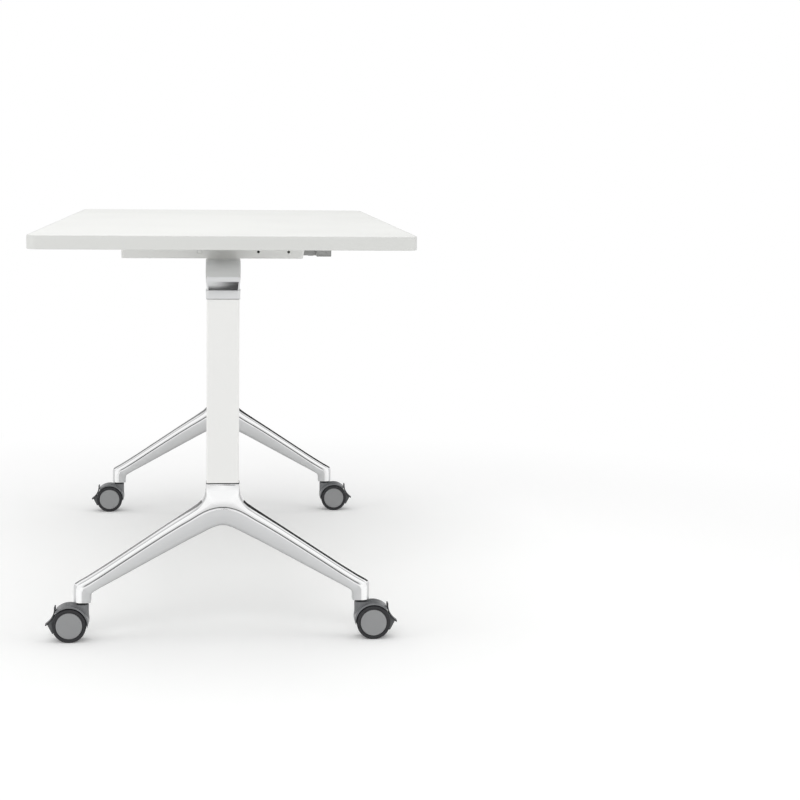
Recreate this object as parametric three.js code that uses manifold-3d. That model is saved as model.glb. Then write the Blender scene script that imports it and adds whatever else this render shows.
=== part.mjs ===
// A flip top training table on castors, in millimetres, +Z up.
// X runs across the table, Y along its length, and the origin is on the floor under its centre.
// Each end has a cast foot, a post and an elbow, and a crossbar joins the two elbows.
// The top is carried by two rails that turn on pins behind the crossbar, so it folds upright.

import * as THREE from 'three';
import { mergeVertices } from 'three/addons/utils/BufferGeometryUtils.js';
import Module from 'manifold-3d';

const wasm = await Module();
wasm.setup();

// Table top
const top_length = 1400;
const top_width = 700;
const top_height = 757;
const top_thickness = 25;
const top_corner_radius = 25;
const band_thickness = 2;
const band_edge_round = 1.5;

// Gaps between pieces
const seat_gap = 0.3;
const running_gap = 0.3;
const sliding_gap = 0.8;

// How far a cutting body runs past the faces that it cuts
const overcut = 1;

// Rails under the top
const rail_height = 25;
const rail_width = 66;
const rail_sheet = 2.5;
const rail_rear_reach = 190;
const rail_front_reach = 155;
const rail_inset = 103;
const rail_corner_radius = 5;
const flange_hole_radius = 2.6;
const flange_hole_front = 123;

// Hinge arms on the crossbar
const hinge_offset = 14;
const hinge_pin_radius = 4;
const hinge_arm_thickness = 10;
const hinge_arm_front = 74;
const hinge_arm_round = 9.5;
const hinge_arm_toe_rise = 4;
const catch_bolt_front = 66;
const catch_bolt_radius = 3;
const catch_head_radius = 5.5;
const catch_head_thickness = 2.5;

// Release bar, its arms and its grip
const bar_offset = 21;
const bar_width = 28;
const bar_height = 19;
const bar_corner_radius = 4;
const bar_wall = 1.5;
const bar_end_margin = 20;
const bar_below_top = 2.5;
const release_travel = 14;
const release_arm_width = 18;
const release_arm_height = 16;
const fixing_hole_half = 3;
const nose_gap = 3.5;
const guide_screw_offset = 11;
const guide_screw_radius = 3;
const guide_head_radius = 6;
const guide_head_thickness = 3.5;
const grip_length = 150;
const grip_wall = 1.7;

// Posts, crossbar, elbows and collars
const leg_inset = 96;
const post_width = 60;
const post_depth = 40;
const tube_wall = 2;
const tube_corner_radius = 4;
const crossbar_height = 40;
const crossbar_gap = 1.4;
const elbow_wall = 3;
const elbow_outer_wall = 2;
const elbow_waist_wall = 0.5;
const elbow_inner_reach = 50;
const elbow_below_crossbar = 11;
const elbow_edge = 2.5;
const spigot_length = 55;
const collar_height = 17;
const collar_wall = 2;

// Cast feet
const foot_height = 297;
const neck_lip = 1.4;
const neck_straight = 14;
const shoulder_reach = 48;
const shoulder_drop = 38;
const stem_reach = 258.7;
const tip_radius = 15.8;
const tip_height = 34.6;
const tip_inner_height = 25;
const tip_inner_rise = 16;
const tip_inner_run = 10;
const tip_inner_lean = 2;
const arch_reach = 27.6;
const arch_drop = 85;
const arch_crown = 8.5;
const facet_height = 13;
const ridge_width = 17;
const facet_start = 92;
const facet_ramp = 5;
const blend_reach = 95;

// Castors
const wheel_radius = 31.5;
const hub_radius = 24.4;
const wheel_width = 14.5;
const tyre_edge_round = 1.8;
const hub_proud = 0.9;
const hub_edge_width = 6;
const wheel_trail = 23.5;
const web_thickness = 8.6;
const axle_radius = 3;
const axle_cap = 2.8;
const hood_clearance = 1.7;
const hood_wall = 3.4;
const hood_overhang = 0.3;
const hood_start_deg = -6;
const hood_end_deg = 134;
const hood_crown = 0.9;
const boss_radius = 12;
const boss_back = 19;
const boss_height = 13;
const axle_boss_radius = 9;
const ring_radius = 11.5;
const ring_height = 4.1;
const stem_radius = 5.5;
const stem_length = 30;
const pivot_radius = 4.5;
const pivot_length = 17;
const pedal_width = 16;
const pedal_wall = 3;
const pedal_clearance = 1.2;
const pedal_tip_reach = 44;
const pedal_tip_deg = 130;
const pedal_back_reach = 35.6;
const pedal_back_deg = 146;
const pedal_hollow_reach = 30;
const pedal_hollow_deg = 155;
const pedal_root_deg = 163;
const pedal_end_deg = 209;
const pedal_toe_reach = 45.2;
const pedal_toe_thickness = 3.2;
const pedal_heel_reach = 39;

// Fineness of round faces
const wheel_segments = 28;
const bolt_segments = 12;
const corner_segments = 4;
const hood_segments = 12;
const bend_segments = 8;
const boss_segments = 16;
const pedal_segments = 7;

// Heights and places that follow from the sizes above
const underside = top_height - top_thickness;
const rail_bottom = underside - rail_height;
const crossbar_top = rail_bottom - crossbar_gap;
const crossbar_bottom = crossbar_top - crossbar_height;
const crossbar_middle = crossbar_top - crossbar_height / 2;
const elbow_bottom = crossbar_bottom - elbow_below_crossbar;
const collar_bottom = elbow_bottom - collar_height;
const hinge_x = -post_width / 2 - hinge_offset;
const hinge_z = crossbar_top + hinge_offset;
const leg_y = top_length / 2 - leg_inset;
const rail_y = leg_y - rail_inset;
const bar_rear = rail_front_reach + bar_offset;
const bar_middle_x = bar_rear + bar_width / 2;
const bar_middle_z = underside - bar_below_top - bar_height / 2;
const axle_z = wheel_radius;
const hood_inner_radius = wheel_radius + hood_clearance;
const hood_outer_radius = hood_inner_radius + hood_wall;
const housing_top = axle_z + hood_outer_radius + hood_crown;
const castor_top = housing_top + seat_gap + ring_height;
const foot_bottom = castor_top + seat_gap;
const wheel_inner = web_thickness / 2 + sliding_gap;
const wheel_outer = wheel_inner + wheel_width;
const hood_half_width = wheel_outer + hood_overhang;
const pedal_inner_radius = wheel_radius + pedal_clearance;

// Looks of the pieces
const looks = {
  laminate: { color: 0xf3f4f1, roughness: 0.45, metalness: 0 },
  band: { color: 0xe6e7e5, roughness: 0.4, metalness: 0 },
  white_paint: { color: 0xe8e8e6, roughness: 0.35, metalness: 0 },
  polished: { color: 0xd3d5d6, roughness: 0.18, metalness: 1 },
  steel: { color: 0x8a8c8e, roughness: 0.35, metalness: 1 },
  dark_bolt: { color: 0x4b4d4f, roughness: 0.4, metalness: 1 },
  red_grip: { color: 0xc82323, roughness: 0.55, metalness: 0 },
  castor_grey: { color: 0x6f7275, roughness: 0.5, metalness: 0 },
  hub_grey: { color: 0x939597, roughness: 0.5, metalness: 0 },
  tyre: { color: 0x303134, roughness: 0.7, metalness: 0 },
  pedal_black: { color: 0x232426, roughness: 0.5, metalness: 0 },
};

// Turns a closed three.js geometry into a solid that can be joined and cut.
function solid(geometry) {
  const bare = geometry.index ? geometry.toNonIndexed() : geometry.clone();
  bare.deleteAttribute('normal');
  bare.deleteAttribute('uv');
  const merged = mergeVertices(bare, 1e-4);
  const points = merged.attributes.position.array;
  const corners = [];
  let volume = 0;
  const a = new THREE.Vector3();
  const b = new THREE.Vector3();
  const c = new THREE.Vector3();
  for (let i = 0; i < merged.index.count; i += 3) {
    const ids = [0, 1, 2].map((k) => merged.index.getX(i + k));
    if (ids[0] === ids[1] || ids[1] === ids[2] || ids[2] === ids[0]) continue;
    a.fromArray(points, 3 * ids[0]);
    b.fromArray(points, 3 * ids[1]);
    c.fromArray(points, 3 * ids[2]);
    volume += a.dot(b.cross(c)) / 6;
    corners.push(ids);
  }
  const facing = volume < 0 ? corners.map((ids) => [ids[0], ids[2], ids[1]]) : corners;
  return new wasm.Manifold(new wasm.Mesh({
    numProp: 3,
    vertProperties: new Float32Array(points),
    triVerts: new Uint32Array(facing.flat()),
  }));
}

// Turns a solid back into a geometry with flat faces.
function faceted(piece) {
  const mesh = piece.getMesh();
  const geometry = new THREE.BufferGeometry();
  geometry.setAttribute('position', new THREE.BufferAttribute(new Float32Array(mesh.vertProperties), 3));
  geometry.setIndex(new THREE.BufferAttribute(new Uint32Array(mesh.triVerts), 1));
  const flat = geometry.toNonIndexed();
  flat.computeVertexNormals();
  return flat;
}

function join(first, ...others) {
  return others.reduce((whole, piece) => whole.add(piece), first);
}

function cut(first, ...others) {
  return others.reduce((whole, piece) => whole.subtract(piece), first);
}

// A box between two corners.
function block(low, high) {
  const geometry = new THREE.BoxGeometry(high[0] - low[0], high[1] - low[1], high[2] - low[2]);
  geometry.translate((low[0] + high[0]) / 2, (low[1] + high[1]) / 2, (low[2] + high[2]) / 2);
  return solid(geometry);
}

// A round bar along Y or Z, centred on a point.
function barAlongY(radius, length, x, y, z, segments = bolt_segments) {
  const geometry = new THREE.CylinderGeometry(radius, radius, length, segments);
  geometry.translate(x, y, z);
  return solid(geometry);
}

function barAlongZ(radius, z_low, z_high, x, y, segments = bolt_segments) {
  const geometry = new THREE.CylinderGeometry(radius, radius, z_high - z_low, segments);
  geometry.rotateX(Math.PI / 2);
  geometry.translate(x, y, (z_low + z_high) / 2);
  return solid(geometry);
}

// A shape drawn in X and Z, given a thickness along Y about the middle.
function plateXZ(shape, thickness, segments = corner_segments) {
  const geometry = new THREE.ExtrudeGeometry(shape, {
    depth: thickness, bevelEnabled: false, curveSegments: segments,
  });
  geometry.rotateX(Math.PI / 2);
  geometry.translate(0, thickness / 2, 0);
  return solid(geometry);
}

// A shape drawn in X and Y, raised from one height to another.
function columnXY(shape, z_low, z_high, segments = corner_segments) {
  const geometry = new THREE.ExtrudeGeometry(shape, {
    depth: z_high - z_low, bevelEnabled: false, curveSegments: segments,
  });
  geometry.translate(0, 0, z_low);
  return solid(geometry);
}

// A profile of radius and height turned about an axis along Y or Z.
function turned(profile, segments) {
  const closed = [...profile, profile[0]].map((p) => new THREE.Vector2(p[0], p[1]));
  return new THREE.LatheGeometry(closed, segments);
}

function turnedAlongY(profile, segments) {
  return solid(turned(profile, segments));
}

function turnedAlongZ(profile, segments) {
  const geometry = turned(profile, segments);
  geometry.rotateX(Math.PI / 2);
  return solid(geometry);
}

function roundedRectangle(width, height, radius, shape = new THREE.Shape()) {
  const x = width / 2;
  const y = height / 2;
  shape.moveTo(-x + radius, -y);
  shape.lineTo(x - radius, -y);
  shape.absarc(x - radius, -y + radius, radius, -Math.PI / 2, 0);
  shape.lineTo(x, y - radius);
  shape.absarc(x - radius, y - radius, radius, 0, Math.PI / 2);
  shape.lineTo(-x + radius, y);
  shape.absarc(-x + radius, y - radius, radius, Math.PI / 2, Math.PI);
  shape.lineTo(-x, -y + radius);
  shape.absarc(-x + radius, -y + radius, radius, Math.PI, 1.5 * Math.PI);
  return shape;
}

function polygon(points) {
  return new THREE.Shape(points.map((p) => new THREE.Vector2(p[0], p[1])));
}

// A point at a distance and an angle from a centre.
function polar(centre, radius, degrees) {
  const angle = THREE.MathUtils.degToRad(degrees);
  return [centre[0] + radius * Math.cos(angle), centre[1] + radius * Math.sin(angle)];
}

function arcPoints(centre, radius, from_deg, to_deg, steps) {
  const points = [];
  for (let i = 0; i <= steps; i += 1) {
    points.push(polar(centre, radius, from_deg + (to_deg - from_deg) * i / steps));
  }
  return points;
}

const table = new THREE.Group();

function addPiece(group, name, piece, look) {
  const mesh = new THREE.Mesh(faceted(piece), new THREE.MeshStandardMaterial(looks[look]));
  mesh.name = name;
  group.add(mesh);
  return mesh;
}

// Table top: a board with a band round its edge.
function boardAndBand() {
  const outline = roundedRectangle(top_width, top_length, top_corner_radius);
  const rounded = new THREE.ExtrudeGeometry(outline, {
    depth: top_thickness - 2 * band_edge_round,
    bevelEnabled: true,
    bevelThickness: band_edge_round,
    bevelSize: band_edge_round,
    bevelOffset: -band_edge_round,
    bevelSegments: 2,
    curveSegments: corner_segments,
  });
  rounded.translate(0, 0, underside + band_edge_round);
  const inside = (margin) => roundedRectangle(
    top_width - 2 * margin, top_length - 2 * margin, top_corner_radius - margin,
  );
  const bore = columnXY(inside(band_thickness), underside - overcut, top_height + overcut);
  const board = columnXY(inside(band_thickness + seat_gap), underside, top_height);
  addPiece(table, 'tabletop', board, 'laminate');
  addPiece(table, 'edge_band', cut(solid(rounded), bore), 'band');
}

// A rail: a shallow pressed tray under the top, with a slot for the hinge arm.
function railSolid() {
  const length = rail_rear_reach + rail_front_reach;
  const middle = (rail_front_reach - rail_rear_reach) / 2;
  const top = underside - seat_gap;
  const outside = columnXY(roundedRectangle(length, rail_width, rail_corner_radius), rail_bottom, top);
  const inner_radius = rail_corner_radius - rail_sheet;
  const hollow = columnXY(
    roundedRectangle(length - 2 * rail_sheet, rail_width - 2 * rail_sheet, inner_radius),
    rail_bottom + rail_sheet, top + overcut,
  );
  const tray = cut(outside, hollow).translate([middle, 0, 0]);
  const slot_half = hinge_arm_thickness / 2 + seat_gap + catch_head_thickness + sliding_gap;
  const slot_rear = hinge_x - hinge_offset - 2 * sliding_gap;
  const slot_front = hinge_arm_front + 2 * sliding_gap;
  const slot = block(
    [slot_rear, -slot_half, rail_bottom - overcut],
    [slot_front, slot_half, rail_bottom + rail_sheet + overcut],
  );
  const mouth_half = release_arm_width / 2 + sliding_gap;
  const mouth_bottom = bar_middle_z - release_arm_height / 2 - sliding_gap;
  const mouth = block(
    [rail_front_reach - rail_sheet - overcut, -mouth_half, mouth_bottom],
    [rail_front_reach + overcut, mouth_half, top + overcut],
  );
  const across = rail_width + 2 * overcut;
  const pin_hole = barAlongY(hinge_pin_radius + running_gap, across, hinge_x, 0, hinge_z);
  const catch_hole = barAlongY(flange_hole_radius, across, catch_bolt_front, 0, hinge_z);
  const front_hole = barAlongY(flange_hole_radius, across, flange_hole_front, 0, hinge_z);
  return cut(tray, slot, mouth, pin_hole, catch_hole, front_hole);
}

// A hinge arm: an upright plate on the crossbar that carries the hinge pin and the catch bolt.
function hingeArmSolid() {
  const seat = crossbar_top + seat_gap;
  const top = hinge_z + hinge_arm_round;
  const half = post_width / 2;
  const toe = seat + hinge_arm_toe_rise;
  const shape = new THREE.Shape();
  shape.moveTo(hinge_x, top);
  shape.absarc(hinge_x, hinge_z, hinge_arm_round, Math.PI / 2, 1.5 * Math.PI);
  shape.lineTo(-half + hinge_arm_toe_rise, seat);
  shape.lineTo(half - hinge_arm_toe_rise, seat);
  shape.lineTo(half + hinge_arm_toe_rise, toe);
  shape.lineTo(hinge_arm_front - hinge_arm_toe_rise, toe);
  shape.lineTo(hinge_arm_front, toe + hinge_arm_toe_rise);
  shape.lineTo(hinge_arm_front, top - hinge_arm_toe_rise);
  shape.lineTo(hinge_arm_front - hinge_arm_toe_rise, top);
  const plate = plateXZ(shape, hinge_arm_thickness, bend_segments);
  const across = hinge_arm_thickness + 2 * overcut;
  const pin_bore = barAlongY(hinge_pin_radius + running_gap, across, hinge_x, 0, hinge_z);
  const bolt_bore = barAlongY(catch_bolt_radius + running_gap, across, catch_bolt_front, 0, hinge_z);
  return cut(plate, pin_bore, bolt_bore);
}

// The catch bolt: a shank through the hinge arm with a head on each side.
function catchBoltSolid() {
  const inner = hinge_arm_thickness / 2 + seat_gap;
  const outer = inner + catch_head_thickness;
  const bolt = turnedAlongY([
    [0, -outer], [catch_head_radius, -outer], [catch_head_radius, -inner], [catch_bolt_radius, -inner],
    [catch_bolt_radius, inner], [catch_head_radius, inner], [catch_head_radius, outer], [0, outer],
  ], bolt_segments);
  return bolt.translate([catch_bolt_front, 0, hinge_z]);
}

// The release bar runs along the underside of the top, with an arm into each rail.
// It is folded from sheet, and a fixing hole lies behind each arm.
function releaseBarSolid() {
  const half = rail_y + bar_end_margin;
  const inner_radius = bar_corner_radius - bar_wall;
  const outside = plateXZ(roundedRectangle(bar_width, bar_height, bar_corner_radius), 2 * half);
  const hollow = plateXZ(
    roundedRectangle(bar_width - 2 * bar_wall, bar_height - 2 * bar_wall, inner_radius),
    2 * (half - bar_wall),
  );
  const reach = bar_width / 2;
  const hole = block(
    [-reach - overcut, -fixing_hole_half, -fixing_hole_half],
    [-reach + bar_wall + overcut, fixing_hole_half, fixing_hole_half],
  );
  const bar = cut(outside, hollow, hole.translate([0, rail_y, 0]), hole.translate([0, -rail_y, 0]));
  return bar.translate([bar_middle_x, 0, bar_middle_z]);
}

function releaseGripSolid() {
  const gap = seat_gap;
  const swell = gap + grip_wall;
  const shape = roundedRectangle(bar_width + 2 * swell, bar_height + 2 * swell, bar_corner_radius + swell);
  shape.holes.push(roundedRectangle(
    bar_width + 2 * gap, bar_height + 2 * gap, bar_corner_radius + gap, new THREE.Path(),
  ));
  return plateXZ(shape, grip_length).translate([bar_middle_x, 0, bar_middle_z]);
}

function releaseArmSolid() {
  const nose = hinge_arm_front + nose_gap;
  const half = release_arm_width / 2;
  const low = bar_middle_z - release_arm_height / 2;
  const arm = block([nose, -half, low], [bar_rear - seat_gap, half, low + release_arm_height]);
  const screw_x = rail_front_reach + guide_screw_offset;
  const slot_half = guide_screw_radius + running_gap;
  const slot = block(
    [screw_x - release_travel - slot_half, -slot_half, low - overcut],
    [screw_x + slot_half, slot_half, low + release_arm_height + overcut],
  );
  return cut(arm, slot);
}

function guideScrewSolid() {
  const arm_low = bar_middle_z - release_arm_height / 2;
  const head_top = arm_low - seat_gap;
  const head_low = head_top - guide_head_thickness;
  const end = underside - seat_gap;
  const screw = turnedAlongZ([
    [0, head_low], [guide_head_radius, head_low], [guide_head_radius, head_top],
    [guide_screw_radius, head_top], [guide_screw_radius, end], [0, end],
  ], bolt_segments);
  return screw.translate([rail_front_reach + guide_screw_offset, 0, 0]);
}

// A rectangular tube along Z and the plug that fits inside its end.
function tubeShape(width, depth) {
  const shape = roundedRectangle(width, depth, tube_corner_radius);
  const bore_radius = Math.max(tube_corner_radius - tube_wall, running_gap);
  shape.holes.push(roundedRectangle(
    width - 2 * tube_wall, depth - 2 * tube_wall, bore_radius, new THREE.Path(),
  ));
  return shape;
}

function spigotShape(width, depth) {
  const margin = tube_wall + running_gap;
  const radius = Math.max(tube_corner_radius - tube_wall, running_gap);
  return roundedRectangle(width - 2 * margin, depth - 2 * margin, radius);
}

function postSolid() {
  return columnXY(tubeShape(post_width, post_depth), foot_height + seat_gap, elbow_bottom - seat_gap);
}

function crossbarSolid() {
  const half = leg_y - elbow_inner_reach - seat_gap;
  return plateXZ(tubeShape(post_width, crossbar_height), 2 * half).translate([0, 0, crossbar_middle]);
}

function collarSolid() {
  const hole = post_width + 2 * running_gap;
  const deep = post_depth + 2 * running_gap;
  const radius = tube_corner_radius + running_gap;
  const shape = roundedRectangle(hole + 2 * collar_wall, deep + 2 * collar_wall, radius + collar_wall);
  shape.holes.push(roundedRectangle(hole, deep, radius, new THREE.Path()));
  return columnXY(shape, collar_bottom, elbow_bottom - seat_gap);
}

// The elbow: a quarter-round corner drawn along the length, plugged into post and crossbar.
// It is drawn for the near end, where the crossbar leaves towards +Y.
function elbowSolid() {
  const outer = -(post_depth / 2 + elbow_outer_wall);
  const inner = post_depth / 2 + elbow_outer_wall;
  const top = crossbar_top + elbow_wall;
  const lip = crossbar_bottom - elbow_wall;
  const bend = inner - outer;
  const shape = new THREE.Shape();
  shape.moveTo(outer, elbow_bottom);
  shape.lineTo(inner, elbow_bottom);
  shape.lineTo(inner, lip);
  shape.lineTo(elbow_inner_reach, lip);
  shape.lineTo(elbow_inner_reach, top);
  shape.lineTo(inner, top);
  shape.absarc(inner, top - bend, bend, Math.PI / 2, Math.PI);
  const width = post_width + 2 * elbow_wall;
  const geometry = new THREE.ExtrudeGeometry(shape, {
    depth: width - 2 * elbow_edge,
    bevelEnabled: true,
    bevelThickness: elbow_edge,
    bevelSize: elbow_edge,
    bevelOffset: -elbow_edge,
    bevelSegments: 2,
    curveSegments: bend_segments,
  });
  geometry.translate(0, 0, -(width - 2 * elbow_edge) / 2);
  geometry.rotateX(Math.PI / 2);
  geometry.rotateZ(Math.PI / 2);
  const half = width / 2;
  const waist = post_width / 2 + elbow_waist_wall;
  const taper_top = crossbar_bottom + elbow_below_crossbar;
  const flank = plateXZ(polygon([
    [-waist, elbow_bottom - overcut], [waist, elbow_bottom - overcut], [waist, elbow_bottom],
    [half, taper_top], [half, top + overcut], [-half, top + overcut],
    [-half, taper_top], [-waist, elbow_bottom],
  ]), 4 * elbow_inner_reach);
  const body = solid(geometry).intersect(flank);
  const sunk = elbow_wall + elbow_edge;
  const plug = spigotShape(post_width, post_depth);
  const down = columnXY(plug, elbow_bottom - spigot_length, elbow_bottom + sunk);
  const along = plateXZ(spigotShape(post_width, crossbar_height), spigot_length + sunk)
    .translate([0, elbow_inner_reach + spigot_length / 2 - sunk / 2, crossbar_middle]);
  return join(body, down, along);
}

// The cast foot: two sloping arms under a neck, with a socket for a castor stem in each tip.
function footSolid() {
  const neck = post_width / 2 + neck_lip;
  const tip = stem_reach + tip_radius;
  const tip_inner = stem_reach - tip_radius;
  const shoulder_z = foot_height - shoulder_drop;
  const arch_z = foot_height - arch_drop;
  const arm_slope = (shoulder_z - foot_bottom - tip_height) / (tip - shoulder_reach);
  const flare_z = shoulder_z + (shoulder_reach - neck) * arm_slope;
  const under_slope = (arch_z - foot_bottom - tip_inner_height) / (tip_inner - tip_inner_run - arch_reach);
  const bend_z = foot_bottom + tip_inner_height - (tip_inner_run - tip_inner_lean) * under_slope;
  const side = new THREE.Shape();
  side.moveTo(-neck, foot_height);
  side.lineTo(neck, foot_height);
  side.lineTo(neck, foot_height - neck_straight);
  side.quadraticCurveTo(neck, flare_z, shoulder_reach, shoulder_z);
  side.lineTo(tip, foot_bottom + tip_height);
  side.lineTo(tip, foot_bottom);
  side.lineTo(tip_inner, foot_bottom);
  side.lineTo(tip_inner - tip_inner_lean, foot_bottom + tip_inner_rise);
  side.quadraticCurveTo(
    tip_inner - tip_inner_lean, bend_z, tip_inner - tip_inner_run, foot_bottom + tip_inner_height,
  );
  side.lineTo(arch_reach, arch_z);
  side.quadraticCurveTo(0, arch_z + 2 * arch_crown, -arch_reach, arch_z);
  side.lineTo(-tip_inner + tip_inner_run, foot_bottom + tip_inner_height);
  side.quadraticCurveTo(
    -tip_inner + tip_inner_lean, bend_z, -tip_inner + tip_inner_lean, foot_bottom + tip_inner_rise,
  );
  side.lineTo(-tip_inner, foot_bottom);
  side.lineTo(-tip, foot_bottom);
  side.lineTo(-tip, foot_bottom + tip_height);
  side.lineTo(-shoulder_reach, shoulder_z);
  side.quadraticCurveTo(-neck, flare_z, -neck, foot_height - neck_straight);
  const neck_half = post_depth / 2 + neck_lip;
  const side_solid = plateXZ(side, 4 * neck_half, bend_segments);

  const plan = new THREE.Shape();
  const blend_middle = (neck + blend_reach) / 2;
  plan.moveTo(-neck, -neck_half);
  plan.lineTo(neck, -neck_half);
  plan.bezierCurveTo(blend_middle, -neck_half, blend_middle, -tip_radius, blend_reach, -tip_radius);
  plan.lineTo(stem_reach, -tip_radius);
  plan.absarc(stem_reach, 0, tip_radius, -Math.PI / 2, Math.PI / 2);
  plan.lineTo(blend_reach, tip_radius);
  plan.bezierCurveTo(blend_middle, tip_radius, blend_middle, neck_half, neck, neck_half);
  plan.lineTo(-neck, neck_half);
  plan.bezierCurveTo(-blend_middle, neck_half, -blend_middle, tip_radius, -blend_reach, tip_radius);
  plan.lineTo(-stem_reach, tip_radius);
  plan.absarc(-stem_reach, 0, tip_radius, Math.PI / 2, 1.5 * Math.PI);
  plan.lineTo(-blend_reach, -tip_radius);
  plan.bezierCurveTo(-blend_middle, -tip_radius, -blend_middle, -neck_half, -neck, -neck_half);
  const plan_solid = columnXY(plan, foot_bottom - overcut, foot_height + overcut, bend_segments);
  let foot = side_solid.intersect(plan_solid);

  // Sloping upper facets along both sides of each arm, which ramp out towards the neck.
  const slope = Math.atan(arm_slope);
  const narrowing = (tip_radius - ridge_width / 2) / facet_height;
  const facet = polygon([
    [tip_radius, -facet_height], [tip_radius - narrowing * (facet_height + overcut), overcut],
    [tip_radius + neck_half, overcut], [tip_radius + neck_half, -facet_height],
  ]);
  const geometry = new THREE.ExtrudeGeometry(facet, { depth: 2 * (tip - facet_start), bevelEnabled: false });
  const points = geometry.attributes.position;
  for (let i = 0; i < points.count; i += 1) {
    if (points.getZ(i) < overcut) points.setZ(i, (ridge_width / 2 - points.getX(i)) * facet_ramp);
  }
  geometry.rotateX(Math.PI / 2);
  geometry.rotateZ(Math.PI / 2);
  geometry.rotateY(slope);
  geometry.translate(facet_start, 0, shoulder_z - (facet_start - shoulder_reach) * arm_slope);
  const cutter = solid(geometry);
  for (const across of [1, -1]) {
    for (const along of [1, -1]) {
      foot = foot.subtract(cutter.scale([along, across, 1]));
    }
  }

  const plug = spigotShape(post_width, post_depth);
  const spigot = columnXY(plug, foot_height - neck_straight, foot_height + spigot_length);
  const socket_top = castor_top + stem_length + sliding_gap;
  const socket = (x) => barAlongZ(stem_radius + running_gap, foot_bottom - overcut, socket_top, x, 0);
  return cut(join(foot, spigot), socket(stem_reach), socket(-stem_reach));
}

// A castor is drawn with its stem on the Z axis and its wheels trailing towards -X.
const axle_at = [-wheel_trail, axle_z];

function castorStemSolid() {
  const ring_low = housing_top + seat_gap;
  return turnedAlongZ([
    [0, ring_low - pivot_length], [pivot_radius, ring_low - pivot_length], [pivot_radius, ring_low],
    [ring_radius, ring_low], [ring_radius, castor_top], [stem_radius, castor_top],
    [stem_radius, castor_top + stem_length], [0, castor_top + stem_length],
  ], bolt_segments);
}

// The housing: a hood over both wheels, and between them a web that carries the axle and the pedal.
function castorHousingSolid() {
  const hood_shape = polygon([
    ...arcPoints(axle_at, hood_outer_radius, hood_start_deg, hood_end_deg, hood_segments),
    ...arcPoints(axle_at, hood_inner_radius, hood_end_deg, hood_start_deg, hood_segments),
  ]);
  const hood = plateXZ(hood_shape, 2 * hood_half_width);
  const boss_low = housing_top - boss_height;
  const boss = join(
    barAlongZ(boss_radius, boss_low - boss_height, housing_top, 0, 0, boss_segments),
    plateXZ(polygon([
      [0, boss_low], [0, housing_top], [-boss_back, housing_top],
      [-boss_back - boss_height, housing_top - boss_height / 2], [-boss_back, boss_low],
    ]), 2 * boss_radius),
  );
  const room_width = 2 * (hood_half_width + overcut);
  const room = barAlongY(hood_inner_radius, room_width, axle_at[0], 0, axle_at[1], wheel_segments);
  const shell = cut(join(hood, boss), room);
  const web_radius = hood_inner_radius + hood_wall / 2;
  const tongue_radius = pedal_inner_radius - seat_gap;
  const web = join(
    plateXZ(polygon([
      axle_at,
      ...arcPoints(axle_at, web_radius, hood_start_deg, hood_end_deg, hood_segments),
      ...arcPoints(axle_at, tongue_radius, hood_end_deg, pedal_end_deg, hood_segments),
    ]), web_thickness),
    barAlongY(axle_boss_radius, web_thickness, axle_at[0], 0, axle_at[1], boss_segments),
  );
  const bore_length = web_thickness + 2 * overcut;
  const axle_bore = barAlongY(axle_radius + running_gap, bore_length, axle_at[0], 0, axle_at[1]);
  const ring_low = housing_top + seat_gap;
  const bore_low = ring_low - pivot_length - sliding_gap;
  const pivot_bore = barAlongZ(pivot_radius + running_gap, bore_low, ring_low + overcut, 0, 0);
  return cut(join(shell, web), axle_bore, pivot_bore);
}

function castorAxleSolid() {
  return barAlongY(axle_radius, 2 * (wheel_outer - axle_cap), axle_at[0], 0, axle_at[1]);
}

// Wheels are turned about Y and carried at the axle. side is +1 or -1 along the castor's own Y.
function tyreSolid(side) {
  const inner = wheel_inner;
  const outer = wheel_outer;
  const bore = hub_radius + seat_gap;
  const r = tyre_edge_round;
  const ring = turnedAlongY([
    [bore, inner], [wheel_radius - r, inner], [wheel_radius, inner + r],
    [wheel_radius, outer - r], [wheel_radius - r, outer], [bore, outer],
  ], wheel_segments);
  return ring.scale([1, side, 1]).translate([axle_at[0], 0, axle_at[1]]);
}

function hubSolid(side) {
  const inner = wheel_inner;
  const face = wheel_outer + hub_proud;
  const bore = axle_radius + running_gap;
  const bore_end = wheel_outer - axle_cap + running_gap;
  const disc = turnedAlongY([
    [0, face], [hub_radius - hub_edge_width, face], [hub_radius, wheel_outer - hub_proud],
    [hub_radius, inner], [bore, inner], [bore, bore_end], [0, bore_end],
  ], wheel_segments);
  return disc.scale([1, side, 1]).translate([axle_at[0], 0, axle_at[1]]);
}

// The brake pedal is a curved blade behind the wheels, with a raised tip and a toe that a foot presses down.
function brakePedalSolid() {
  const tip_inner = polar(axle_at, pedal_tip_reach - pedal_wall, pedal_tip_deg);
  const tip_outer = polar(axle_at, pedal_tip_reach, pedal_tip_deg);
  const back = polar(axle_at, pedal_back_reach, pedal_back_deg);
  const hollow = polar(axle_at, pedal_hollow_reach, pedal_hollow_deg);
  const toe_x = axle_at[0] - pedal_toe_reach;
  const toe_half = pedal_toe_thickness / 2;
  const shape = polygon(
    arcPoints(axle_at, pedal_inner_radius, pedal_end_deg, pedal_root_deg, pedal_segments),
  );
  shape.quadraticCurveTo(...back, ...tip_inner);
  shape.lineTo(...tip_outer);
  shape.quadraticCurveTo(...hollow, toe_x, axle_at[1] + toe_half);
  shape.lineTo(toe_x, axle_at[1] - toe_half);
  shape.lineTo(axle_at[0] - pedal_heel_reach, axle_at[1] - toe_half);
  shape.lineTo(...polar(axle_at, pedal_inner_radius + pedal_wall, pedal_end_deg));
  return plateXZ(shape, pedal_width, pedal_segments);
}

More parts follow.
